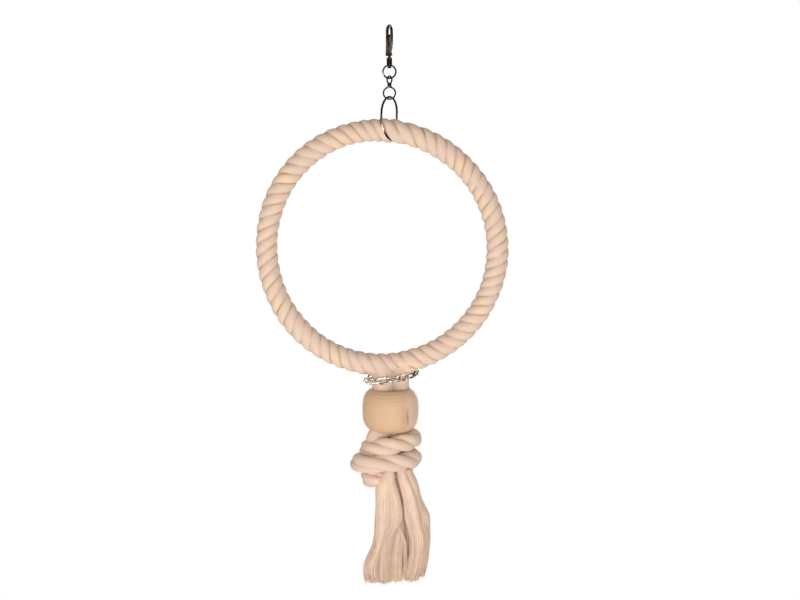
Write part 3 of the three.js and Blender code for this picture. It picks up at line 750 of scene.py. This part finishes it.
def foldShape(angle, t, seed):
    # lengthwise folds of a clump, which wander as they run down; the finer ones open towards the foot
    wide, mid, fine = [
        depth * np.sin(count * angle + start * seed + sway * np.sin(down * t + (k + 1) * seed))
        for k, (depth, count, start, sway, down) in enumerate(clumpSet["folds"])
    ]
    return 1 + wide + (mid + fine) * blend(clumpSet["opens"], 1, t)


def clumpSpots(rows, angle, share):
    z, x, y, wide, deep = rows.T
    return np.stack([x + wide * share * np.cos(angle), y + deep * share * np.sin(angle), z], axis=1)


def addClumpCore(work, rows, seed):
    steps = clumpSet["rows"]

    def place(u, v):
        row = rows[np.rint(u * steps).astype(int)]
        angle = 2 * np.pi * v
        fold = foldShape(angle, u, seed)
        taper = clumpSet["taper"] * smooth((u - clumpSet["taperFrom"]) / (1 - clumpSet["taperFrom"]))
        spots = clumpSpots(row, angle, clumpSet["coreShare"] * fold * (1 - taper))
        wide, fine = clumpSet["unevenFoot"]
        uneven = wide * np.sin(3 * angle + seed) + fine * np.sin(8 * angle + 2 * seed)
        spots[:, 2] += (clumpSet["recess"] + uneven) * u ** clumpSet["recessEdge"]
        # painted shade in the hollows between the folds
        dark = np.clip(clumpSet["paintedShade"] + clumpSet["foldShadeGain"] * (1 - fold), 0, 1)
        return spots, np.stack([row[:, 0], row[:, 3] * angle, dark], axis=1)

    rollGrid(work, steps, clumpSet["around"], place)


# yarns lie on a clump, have their own place in the fibres' pattern and carry an amount of painted shade
goldenAngle = 2.39996
toneReach = 60
yarnSet = {
    "count": 90, "fullWidth": 6, "strays": 12, "radius": 0.3, "around": 3, "steps": 12, "starts": (0.1, 0.75),
    "proud": (0.96, 1.015), "wander": 0.9, "ragged": 6.0, "longer": 0.45, "raggedFrom": 6,
    # every yarn takes the same small amount of painted shade
    "thickness": (0.75, 1.2), "strayLift": 0.05, "strayWander": 2.2, "strayThin": 0.6, "paintedShade": 0.4,
}
endSet = {
    "count": 110, "fullFoot": 50, "radius": 0.7, "around": 5, "rows": [53, 57, 60], "reach": 0.93,
    # the cut ends take a random amount of painted shade
    "sway": 0.4, "length": (-0.8, 2.2), "thickness": (0.8, 1.15), "paintedShade": (0.3, 0.75), "tip": 0.75,
}


# a yarn with its own place in the fibre pattern and an amount of painted shade
def addYarn(work, spots, radii, around, shift, paintedShade):
    layer = work.verts.layers.float_vector["lay"]
    for vert in addWire(work, spots, radii, around):
        vert[layer] = Vector((vert.co.z / mm, shift + vert.co.x / mm, paintedShade))


def addYarnEnds(work, rows, draw, seed):
    # the cut ends that fill the foot of a clump
    count = math.ceil(endSet["count"] * min(1, rows[-1, 3] * rows[-1, 4] / endSet["fullFoot"]))
    sway = endSet["sway"]
    for k in range(count):
        angle = k * goldenAngle
        share = endSet["reach"] * math.sqrt((k + 0.5) / count)
        spots = clumpSpots(rows[endSet["rows"]], angle, share * foldShape(angle, 1, seed))
        spots[2] += (draw.uniform(-sway, sway), draw.uniform(-sway, sway), draw.uniform(*endSet["length"]))
        thick = endSet["radius"] * draw.uniform(*endSet["thickness"])
        shift, paintedShade = draw.uniform(0, toneReach), draw.uniform(*endSet["paintedShade"])
        addYarn(work, spots, np.array([thick, thick, endSet["tip"] * thick]), endSet["around"], shift, paintedShade)


def addYarns(work, rows, draw, seed):
    yarns = math.ceil(yarnSet["count"] * min(1, rows[-1, 3] / yarnSet["fullWidth"]))
    for k in range(yarns + yarnSet["strays"]):
        stray = k >= yarns
        first = draw.uniform(*yarnSet["starts"])
        t = np.linspace(first, 1, yarnSet["steps"] + 1)
        marks = np.arange(len(rows))
        row = np.stack([np.interp(t * clumpSet["rows"], marks, column) for column in rows.T], axis=1)
        angle = k * goldenAngle
        proud = draw.uniform(*yarnSet["proud"]) + (yarnSet["strayLift"] * (t - first) if stray else 0)
        spots = clumpSpots(row, angle, proud * foldShape(angle, t, seed))
        wander = yarnSet["wander"] * (yarnSet["strayWander"] if stray else 1) * (t - first)
        spots[:, 0] += wander * np.sin(6 * t + draw.uniform(0, 6))
        spots[:, 1] += wander * np.sin(5 * t + draw.uniform(0, 6))
        spots[:, 2] -= yarnSet["ragged"] * (draw.random() - yarnSet["longer"]) * t ** yarnSet["raggedFrom"]
        thick = yarnSet["radius"] * draw.uniform(*yarnSet["thickness"])
        thick = thick * (yarnSet["strayThin"] if stray else 1)
        shift = draw.uniform(0, toneReach)
        addYarn(work, spots, roundedRadii(spots, thick), yarnSet["around"], shift, yarnSet["paintedShade"])


def makeClump(node, stations, seed):
    work = startWork()
    draw = random.Random(seed)
    for bundle in [stations, *openedOut.get(node, [])]:
        rows = softCurve(bundle)
        addClumpCore(work, rows, seed)
        addYarns(work, rows, draw, seed)
        addYarnEnds(work, rows, draw, seed)
    closeWork(work)
    finishPiece(work, node.replace("strand", "yarns"), "perch", "cotton_yarn", node)


for clumpSeed, (clumpNode, clumpStations) in enumerate(tasselClumps.items()):
    makeClump(clumpNode, clumpStations, clumpSeed)
print("tassel made")


# Bead: a drilled wooden ball with eased edges

beadSet = {"bore": 18.65, "fullness": 3.0, "edge": 1.6, "edgeCut": 0.3, "profile": 40, "steps": 72}


def makeBead():
    work = startWork()
    low, high = nodeBox("wooden_bead")
    centre = (low + high) / 2
    radius = (high[0] - low[0]) / 2
    half = (high[2] - low[2]) / 2
    bore, edge, power = beadSet["bore"], beadSet["edge"], beadSet["fullness"]
    cut = edge * beadSet["edgeCut"]
    tall = half / (1 - ((bore + edge) / radius) ** power) ** (1 / power)
    outline = [(bore, -half + edge), (bore + cut, -half + cut)]
    for z in half * np.sin(np.linspace(-np.pi / 2, np.pi / 2, beadSet["profile"] + 1)):
        outline.append((radius * (1 - abs(z / tall) ** power) ** (1 / power), z))
    outline += [(bore + cut, half - cut), (bore, half - edge), outline[0]]
    addSpun(work, outline, centre, beadSet["steps"])
    closeWork(work)
    finishPiece(work, "bead", "bead", "pale_wood", "wooden_bead")


makeBead()
print("bead made")


# Chain: the solid's own links, rounded

chainSet = {"swell": 0.17, "levels": 2, "weld": 0.001}


def makeChain():
    for node in sorted(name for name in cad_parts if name.startswith("chain_link_")):
        work = bmesh.new()
        work.from_mesh(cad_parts[node].data)
        bmesh.ops.remove_doubles(work, verts=work.verts, dist=chainSet["weld"] * mm)
        bmesh.ops.join_triangles(work, faces=work.faces, angle_face_threshold=0.9, angle_shape_threshold=3.1)
        work.normal_update()
        for vert in work.verts:
            vert.co += vert.normal * chainSet["swell"] * mm
        name = node.replace("chain_link", "link")
        piece = finishPiece(work, name, "perch", "nickel_plate", node)
        rounding = piece.modifiers.new("rounding", "SUBSURF")
        rounding.levels = rounding.render_levels = chainSet["levels"]


makeChain()
print("chain made")


# Snap hook: bent rod, folded gate, pin and spring, in a plane turned about the hanging line

hookSet = {
    "rod": 1.5, "arch": 6.0, "archZ": -4.5, "noseZ": -8.5, "neckTopZ": -16.0, "neckEndZ": -29.0,
    "shankEndZ": -39.6, "turn": 69, "headRadius": 2.2, "headTop": -38.7, "headBottom": -40.3,
    "headDome": [(0, 0), (0.6, 0.1), (0.9, 0.5), (1, 0.9)], "headEdge": 0.15,      # share of radius, and rise
    "pivot": (-1.4, -26.5), "ear": 1.9, "earRoot": 0.9, "earRootHalf": 0.95, "earRootDrop": 0.1, "bevel": 0.3,
    "around": 20, "curvePoints": 40, "step": 0.4, "discSteps": 32,
}


def hookPlace(points):
    return turned(points, hookSet["turn"])


def hookPath():
    arch, top, end = hookSet["arch"], hookSet["neckTopZ"], hookSet["neckEndZ"]
    points = [(-arch, 0, hookSet["noseZ"])]
    for angle in np.linspace(math.pi, 0, hookSet["curvePoints"]):
        points.append((arch * math.cos(angle), 0, hookSet["archZ"] + arch * math.sin(angle)))
    for t in np.linspace(0, 1, hookSet["curvePoints"]):
        points.append((arch * (1 - smooth(t)), 0, blend(top, end, t)))
    points.append((0, 0, hookSet["shankEndZ"]))
    return evenPath(points, hookSet["step"])


def addDisc(work, radius, half, centre, bevel):
    # a round plate that lies in the hook's plane
    turn = Matrix.Rotation(math.radians(hookSet["turn"]), 4, "Z") @ Matrix.Rotation(math.pi / 2, 4, "X")
    place = Matrix.Translation(Vector(hookPlace([centre])[0]) * mm) @ turn
    made = bmesh.ops.create_cone(
        work, cap_ends=True, segments=hookSet["discSteps"], radius1=radius * mm, radius2=radius * mm,
        depth=2 * half * mm, matrix=place,
    )["verts"]
    rims = [edge for edge in {e for v in made for e in v.link_edges} if len(edge.link_faces) == 2
            and max(len(face.verts) for face in edge.link_faces) > 4]
    bevelEdges(work, rims, bevel, 2)


def makeHook():
    work = startWork()
    points = hookPath()
    addWire(work, hookPlace(points), roundedRadii(points, hookSet["rod"], end=False), hookSet["around"])
    closeWork(work)
    pivotX, pivotZ = hookSet["pivot"]
    ear, half, bevel = hookSet["ear"], hookSet["rod"], hookSet["bevel"]
    addDisc(work, ear, half, (pivotX, 0, pivotZ), bevel)
    rootSpot = (pivotX / 2, 0, pivotZ - hookSet["earRootDrop"])
    addDisc(work, ear * hookSet["earRoot"], half * hookSet["earRootHalf"], rootSpot, bevel)
    radius, top, edge = hookSet["headRadius"], hookSet["headTop"], hookSet["headEdge"]
    head = [(radius * share, hookSet["headBottom"] + rise) for share, rise in hookSet["headDome"]]
    head += [(radius, top - edge), (radius - edge, top), (0, top)]
    addSpun(work, head, (0, 0, 0), hookSet["discSteps"])
    closeWork(work)
    finishPiece(work, "hook", "hook", "dark_nickel", "hook_body")


gateSet = {
    "face": -4.2, "sheet": 0.6, "tipDepth": 2.4, "tipZ": -7.0, "tail": -28.0, "back": 0.2, "cheekZ": -23.5,
    "half": 2.4, "bevel": 0.5,
}


def makeGate():
    work = startWork()
    face, back = gateSet["face"], gateSet["back"]
    tip, tail = gateSet["tipZ"], gateSet["tail"]
    outline = [(face, tip), (face, tail), (back, tail), (back, gateSet["cheekZ"]),
               (face + gateSet["tipDepth"], tip)]
    near, far = [
        [work.verts.new(Vector(spot) * mm) for spot in hookPlace([(x, half, z) for x, z in outline])]
        for half in (-gateSet["half"], gateSet["half"])
    ]
    work.faces.new(near)
    work.faces.new(far)
    for k in (4, 0):       # the tip and the web; the back and the foot stay open
        after = (k + 1) % len(outline)
        work.faces.new([near[k], near[after], far[after], far[k]])
    bmesh.ops.recalc_face_normals(work, faces=work.faces)
    folds = [edge for edge in work.edges if len(edge.link_faces) == 2]
    bevelEdges(work, folds, gateSet["bevel"], 3)
    bmesh.ops.solidify(work, geom=work.faces[:], thickness=gateSet["sheet"] * mm)
    bmesh.ops.recalc_face_normals(work, faces=work.faces)
    piece = finishPiece(work, "gate", "gate", "dark_nickel", "hook_gate")
    for polygon in piece.data.polygons:
        polygon.use_smooth = False


pinSet = {"radius": 0.8, "head": 1.4, "half": 2.7, "headHalf": 0.3, "bevel": 0.05, "headBevel": 0.2}


def makePin():
    work = startWork()
    pivotX, pivotZ = hookSet["pivot"]
    addDisc(work, pinSet["radius"], pinSet["half"], (pivotX, 0, pivotZ), pinSet["bevel"])
    for side in (-1, 1):
        spot = (pivotX, side * (pinSet["half"] + pinSet["headHalf"]), pivotZ)
        addDisc(work, pinSet["head"], pinSet["headHalf"], spot, pinSet["headBevel"])
    bmesh.ops.recalc_face_normals(work, faces=work.faces)
    finishPiece(work, "pin", "hook", "dark_nickel", "gate_pivot_pin")


springSet = {
    "wire": 0.2, "reach": 1.1, "curls": 4, "from": -3.1, "to": 0.95, "z": -21.5, "pressed": 0.58,
    "steps": 160, "around": 10,
}


def makeSpring():
    work = startWork()
    t = np.linspace(0, 1, springSet["steps"] + 1)
    angle = 2 * np.pi * springSet["curls"] * t
    along = blend(springSet["from"], springSet["to"], t)
    reach = springSet["reach"]
    points = np.stack([along, reach * np.cos(angle), springSet["z"] + reach * np.sin(angle)], axis=1)
    points = hookPlace(points)
    addWire(work, points, roundedRadii(points, springSet["wire"]), springSet["around"])
    closeWork(work)
    piece = finishPiece(work, "spring", "hook", "spring_steel", "gate_spring")
    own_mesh(piece)


makeHook()
makeGate()
makePin()
makeSpring()
print("snap hook made")


# Swivel eye: a turned collar with a ring under it

swivelSet = {
    "top": -29.5, "bottom": -38.4, "radius": 2.9, "bore": 1.8, "wire": 0.9, "ring": 6.35, "ringZ": -43.55,
    "ease": 0.5, "footEase": (0.12, 0.15), "steps": 40, "ringSteps": 90, "around": 16,
    "grooveShade": [(0, 1.6), (0.25, 1.3), (0.25, 1.0), (0, 0.8), (0.1, 0.2)],      # how far in, and below the top
}


def circlePath(radius, centreZ, count, turn=90):
    # an upright circle, its plane turned by so many degrees from the YZ plane
    angle = np.linspace(0, 2 * np.pi, count + 1)
    flat, rise = radius * np.sin(angle), centreZ + radius * np.cos(angle)
    return np.stack([flat * math.sin(math.radians(turn)), flat * math.cos(math.radians(turn)), rise], axis=1)


def makeSwivel():
    work = startWork()
    top, bottom, radius, bore = (swivelSet[key] for key in ("top", "bottom", "radius", "bore"))
    ease, (footIn, footUp) = swivelSet["ease"], swivelSet["footEase"]
    outline = [(bore, bottom), (radius - ease, bottom), (radius - footIn, bottom + footUp)]
    outline.append((radius, bottom + ease))
    outline += [(radius - inward, top - below) for inward, below in swivelSet["grooveShade"]]
    outline += [(radius - ease, top), (bore, top), (bore, bottom)]
    addSpun(work, outline, (0, 0, 0), swivelSet["steps"])
    ring = circlePath(swivelSet["ring"], swivelSet["ringZ"], swivelSet["ringSteps"])
    addWire(work, ring, swivelSet["wire"], swivelSet["around"], closed=True)
    closeWork(work)
    finishPiece(work, "swivel", "swivel", "dark_nickel", "swivel_eye")


# Connecting link: one wire, bent to a ring, a neck, an eye and a wrap round its own neck

linkSet = {
    "wire": 0.85, "eye": 3.6, "eyeZ": -51.45, "eyeTurn": 40, "ring": 5.9, "ringZ": -64.55, "wrapTurns": 1.5,
    "wrapPitch": 2.2, "wrapRadius": 1.65, "wrapPoints": 70, "ringSteps": 80, "eyeSteps": 50, "neckSink": 0.3,
}


def makeLink():
    work = startWork()
    ringTop = linkSet["ringZ"] + linkSet["ring"]
    eyeFoot = linkSet["eyeZ"] - linkSet["eye"]
    ring = circlePath(linkSet["ring"], linkSet["ringZ"], linkSet["ringSteps"])
    eye = circlePath(linkSet["eye"], linkSet["eyeZ"], linkSet["eyeSteps"], linkSet["eyeTurn"])
    addWire(work, ring, linkSet["wire"], closed=True)
    addWire(work, eye, linkSet["wire"], closed=True)
    sink = linkSet["neckSink"]
    addWire(work, evenPath([(0, 0, ringTop - sink), (0, 0, eyeFoot + sink)], sink), linkSet["wire"])
    t = np.linspace(0, 1, linkSet["wrapPoints"])
    angle = 2 * np.pi * linkSet["wrapTurns"] * t
    rise = (ringTop + eyeFoot) / 2 + linkSet["wrapTurns"] * linkSet["wrapPitch"] * (0.5 - t)
    reach = linkSet["wrapRadius"]
    wrap = np.stack([reach * np.cos(angle), reach * np.sin(angle), rise], axis=1)
    addWire(work, wrap, roundedRadii(wrap, linkSet["wire"]))
    closeWork(work)
    finishPiece(work, "wire_link", "link", "dark_nickel", "connecting_link")


# Bail: a loop of wire through the link and round the rope

bailSet = {
    "wire": 1.1, "halfWidth": 13.0, "top": -68.2, "crown": 16.0, "depth": 9.6, "straight": 0.2, "turn": 36,
    "butt": 0.3, "lay": 6.0, "shift": -0.6, "points": 400, "step": 0.5, "around": 16,
}


def makeBail():
    work = startWork()
    ropeTop = hoopCentre[2] + hoopRadius
    butt = bailSet["butt"] / bailSet["halfWidth"]
    angle = np.linspace(butt, 2 * np.pi - butt, bailSet["points"]) - np.pi / 2
    across, rise = bailSet["halfWidth"] * np.cos(angle), np.sin(angle)
    climb = smooth((rise + bailSet["straight"]) / (2 * bailSet["straight"]))
    side = ropeTop + climb * (bailSet["top"] - bailSet["crown"] - ropeTop)
    height = side + rise * np.where(rise > 0, bailSet["crown"], bailSet["depth"])
    turn = math.radians(bailSet["turn"])
    laid = bailSet["lay"] * smooth((ropeTop - height) / hoopSet["ropeDiameter"] + 0.5)
    shifted = bailSet["shift"] * (1 - smooth((height - ropeTop) / (bailSet["top"] - ropeTop)))
    spots = np.stack([laid + shifted + across * math.sin(turn), across * math.cos(turn), height], axis=1)
    points = evenPath(spots, bailSet["step"])
    addWire(work, points, roundedRadii(points, bailSet["wire"]), bailSet["around"])
    closeWork(work)
    finishPiece(work, "bail_wire", "perch", "dark_nickel", "bail")


makeSwivel()
makeLink()
makeBail()
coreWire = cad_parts["hoop_core_wire"].data
coreWire.materials.clear()
coreWire.materials.append(finishes["spring_steel"])
print("fittings made")


# Stage: pale floor, white surround, and soft light from the front and from behind

stageSet = {
    "floorZ": -2300.0, "floorSize": 12000.0, "ambient": 0.4, "floorGlow": 1.07, "floorWhite": 0.92,
    "floorTone": (0.9, 0.9, 0.9, 1), "aim": (0, 0, -280),
    # name, place, size, power and colour
    "lamps": [
        ("key", (-1500, -1400, -600), 1300, 10.0, (1.0, 0.99, 0.97)),
        ("fill", (1500, -1400, -600), 1300, 5.0, (0.99, 0.99, 1.0)),
        ("low", (300, -1600, -1350), 1300, 8.8, (1.0, 0.99, 0.99)),
        ("front", (0, -2100, -300), 700, 15.5, (1.0, 0.99, 1.0)),
        ("back", (300, 1900, -400), 1400, 30, (1.0, 1.0, 1.0)),
    ],
}


def whiteToView(shade):
    # 1 where the camera sees the surround itself, or its reflection
    path = shade.node("ShaderNodeLightPath", {}, {})
    camera, glossy, through = path.outs("Is Camera Ray", "Is Glossy Ray", "Is Transmission Ray")
    return (camera + glossy + through).clamp()


def makeStage():
    world = bpy.data.worlds.new("surround")
    scene.world = world
    world.use_nodes = True
    tree = world.node_tree
    tree.nodes.clear()
    shade = Shade(tree)
    ambient = shade.node("ShaderNodeBackground", {}, {"Color": (1, 1, 1, 1), "Strength": stageSet["ambient"]})
    white = shade.node("ShaderNodeBackground", {}, {"Color": (1, 1, 1, 1), "Strength": 1.0})
    both = shade.node("ShaderNodeMixShader", {}, {0: whiteToView(shade), 1: ambient, 2: white})
    shade.node("ShaderNodeOutputWorld", {}, {"Surface": both})

    size, spot = stageSet["floorSize"] * mm, (0, 0, stageSet["floorZ"] * mm)
    bpy.ops.mesh.primitive_plane_add(size=size, location=spot)
    floor = bpy.context.object
    floor.name = "floor"
    fixed = {"Base Color": stageSet["floorTone"], "Roughness": 0.9}
    material, shade, surface = startMaterial("pale_floor", fixed)
    glow = shade.node("ShaderNodeEmission", {}, {"Color": (1, 1, 1, 1), "Strength": stageSet["floorGlow"]})
    lit = Shade(shade.tree, surface.outputs[0])
    seen = whiteToView(shade) * stageSet["floorWhite"]
    both = shade.node("ShaderNodeMixShader", {}, {0: seen, 1: lit, 2: glow})
    output = next(n for n in shade.tree.nodes if n.type == "OUTPUT_MATERIAL")
    shade.tree.links.new(both.socket, output.inputs["Surface"])
    floor.data.materials.append(material)

    aim = Vector(stageSet["aim"]) * mm
    for name, place, size, power, colour in stageSet["lamps"]:
        data = bpy.data.lights.new(name, "AREA")
        data.size = size * mm
        data.energy = power
        data.color = colour
        lamp = bpy.data.objects.new(name, data)
        lamp.location = Vector(place) * mm
        lamp.rotation_euler = (aim - lamp.location).to_track_quat("-Z", "Y").to_euler()
        scene.collection.objects.link(lamp)


makeStage()
print("stage set")
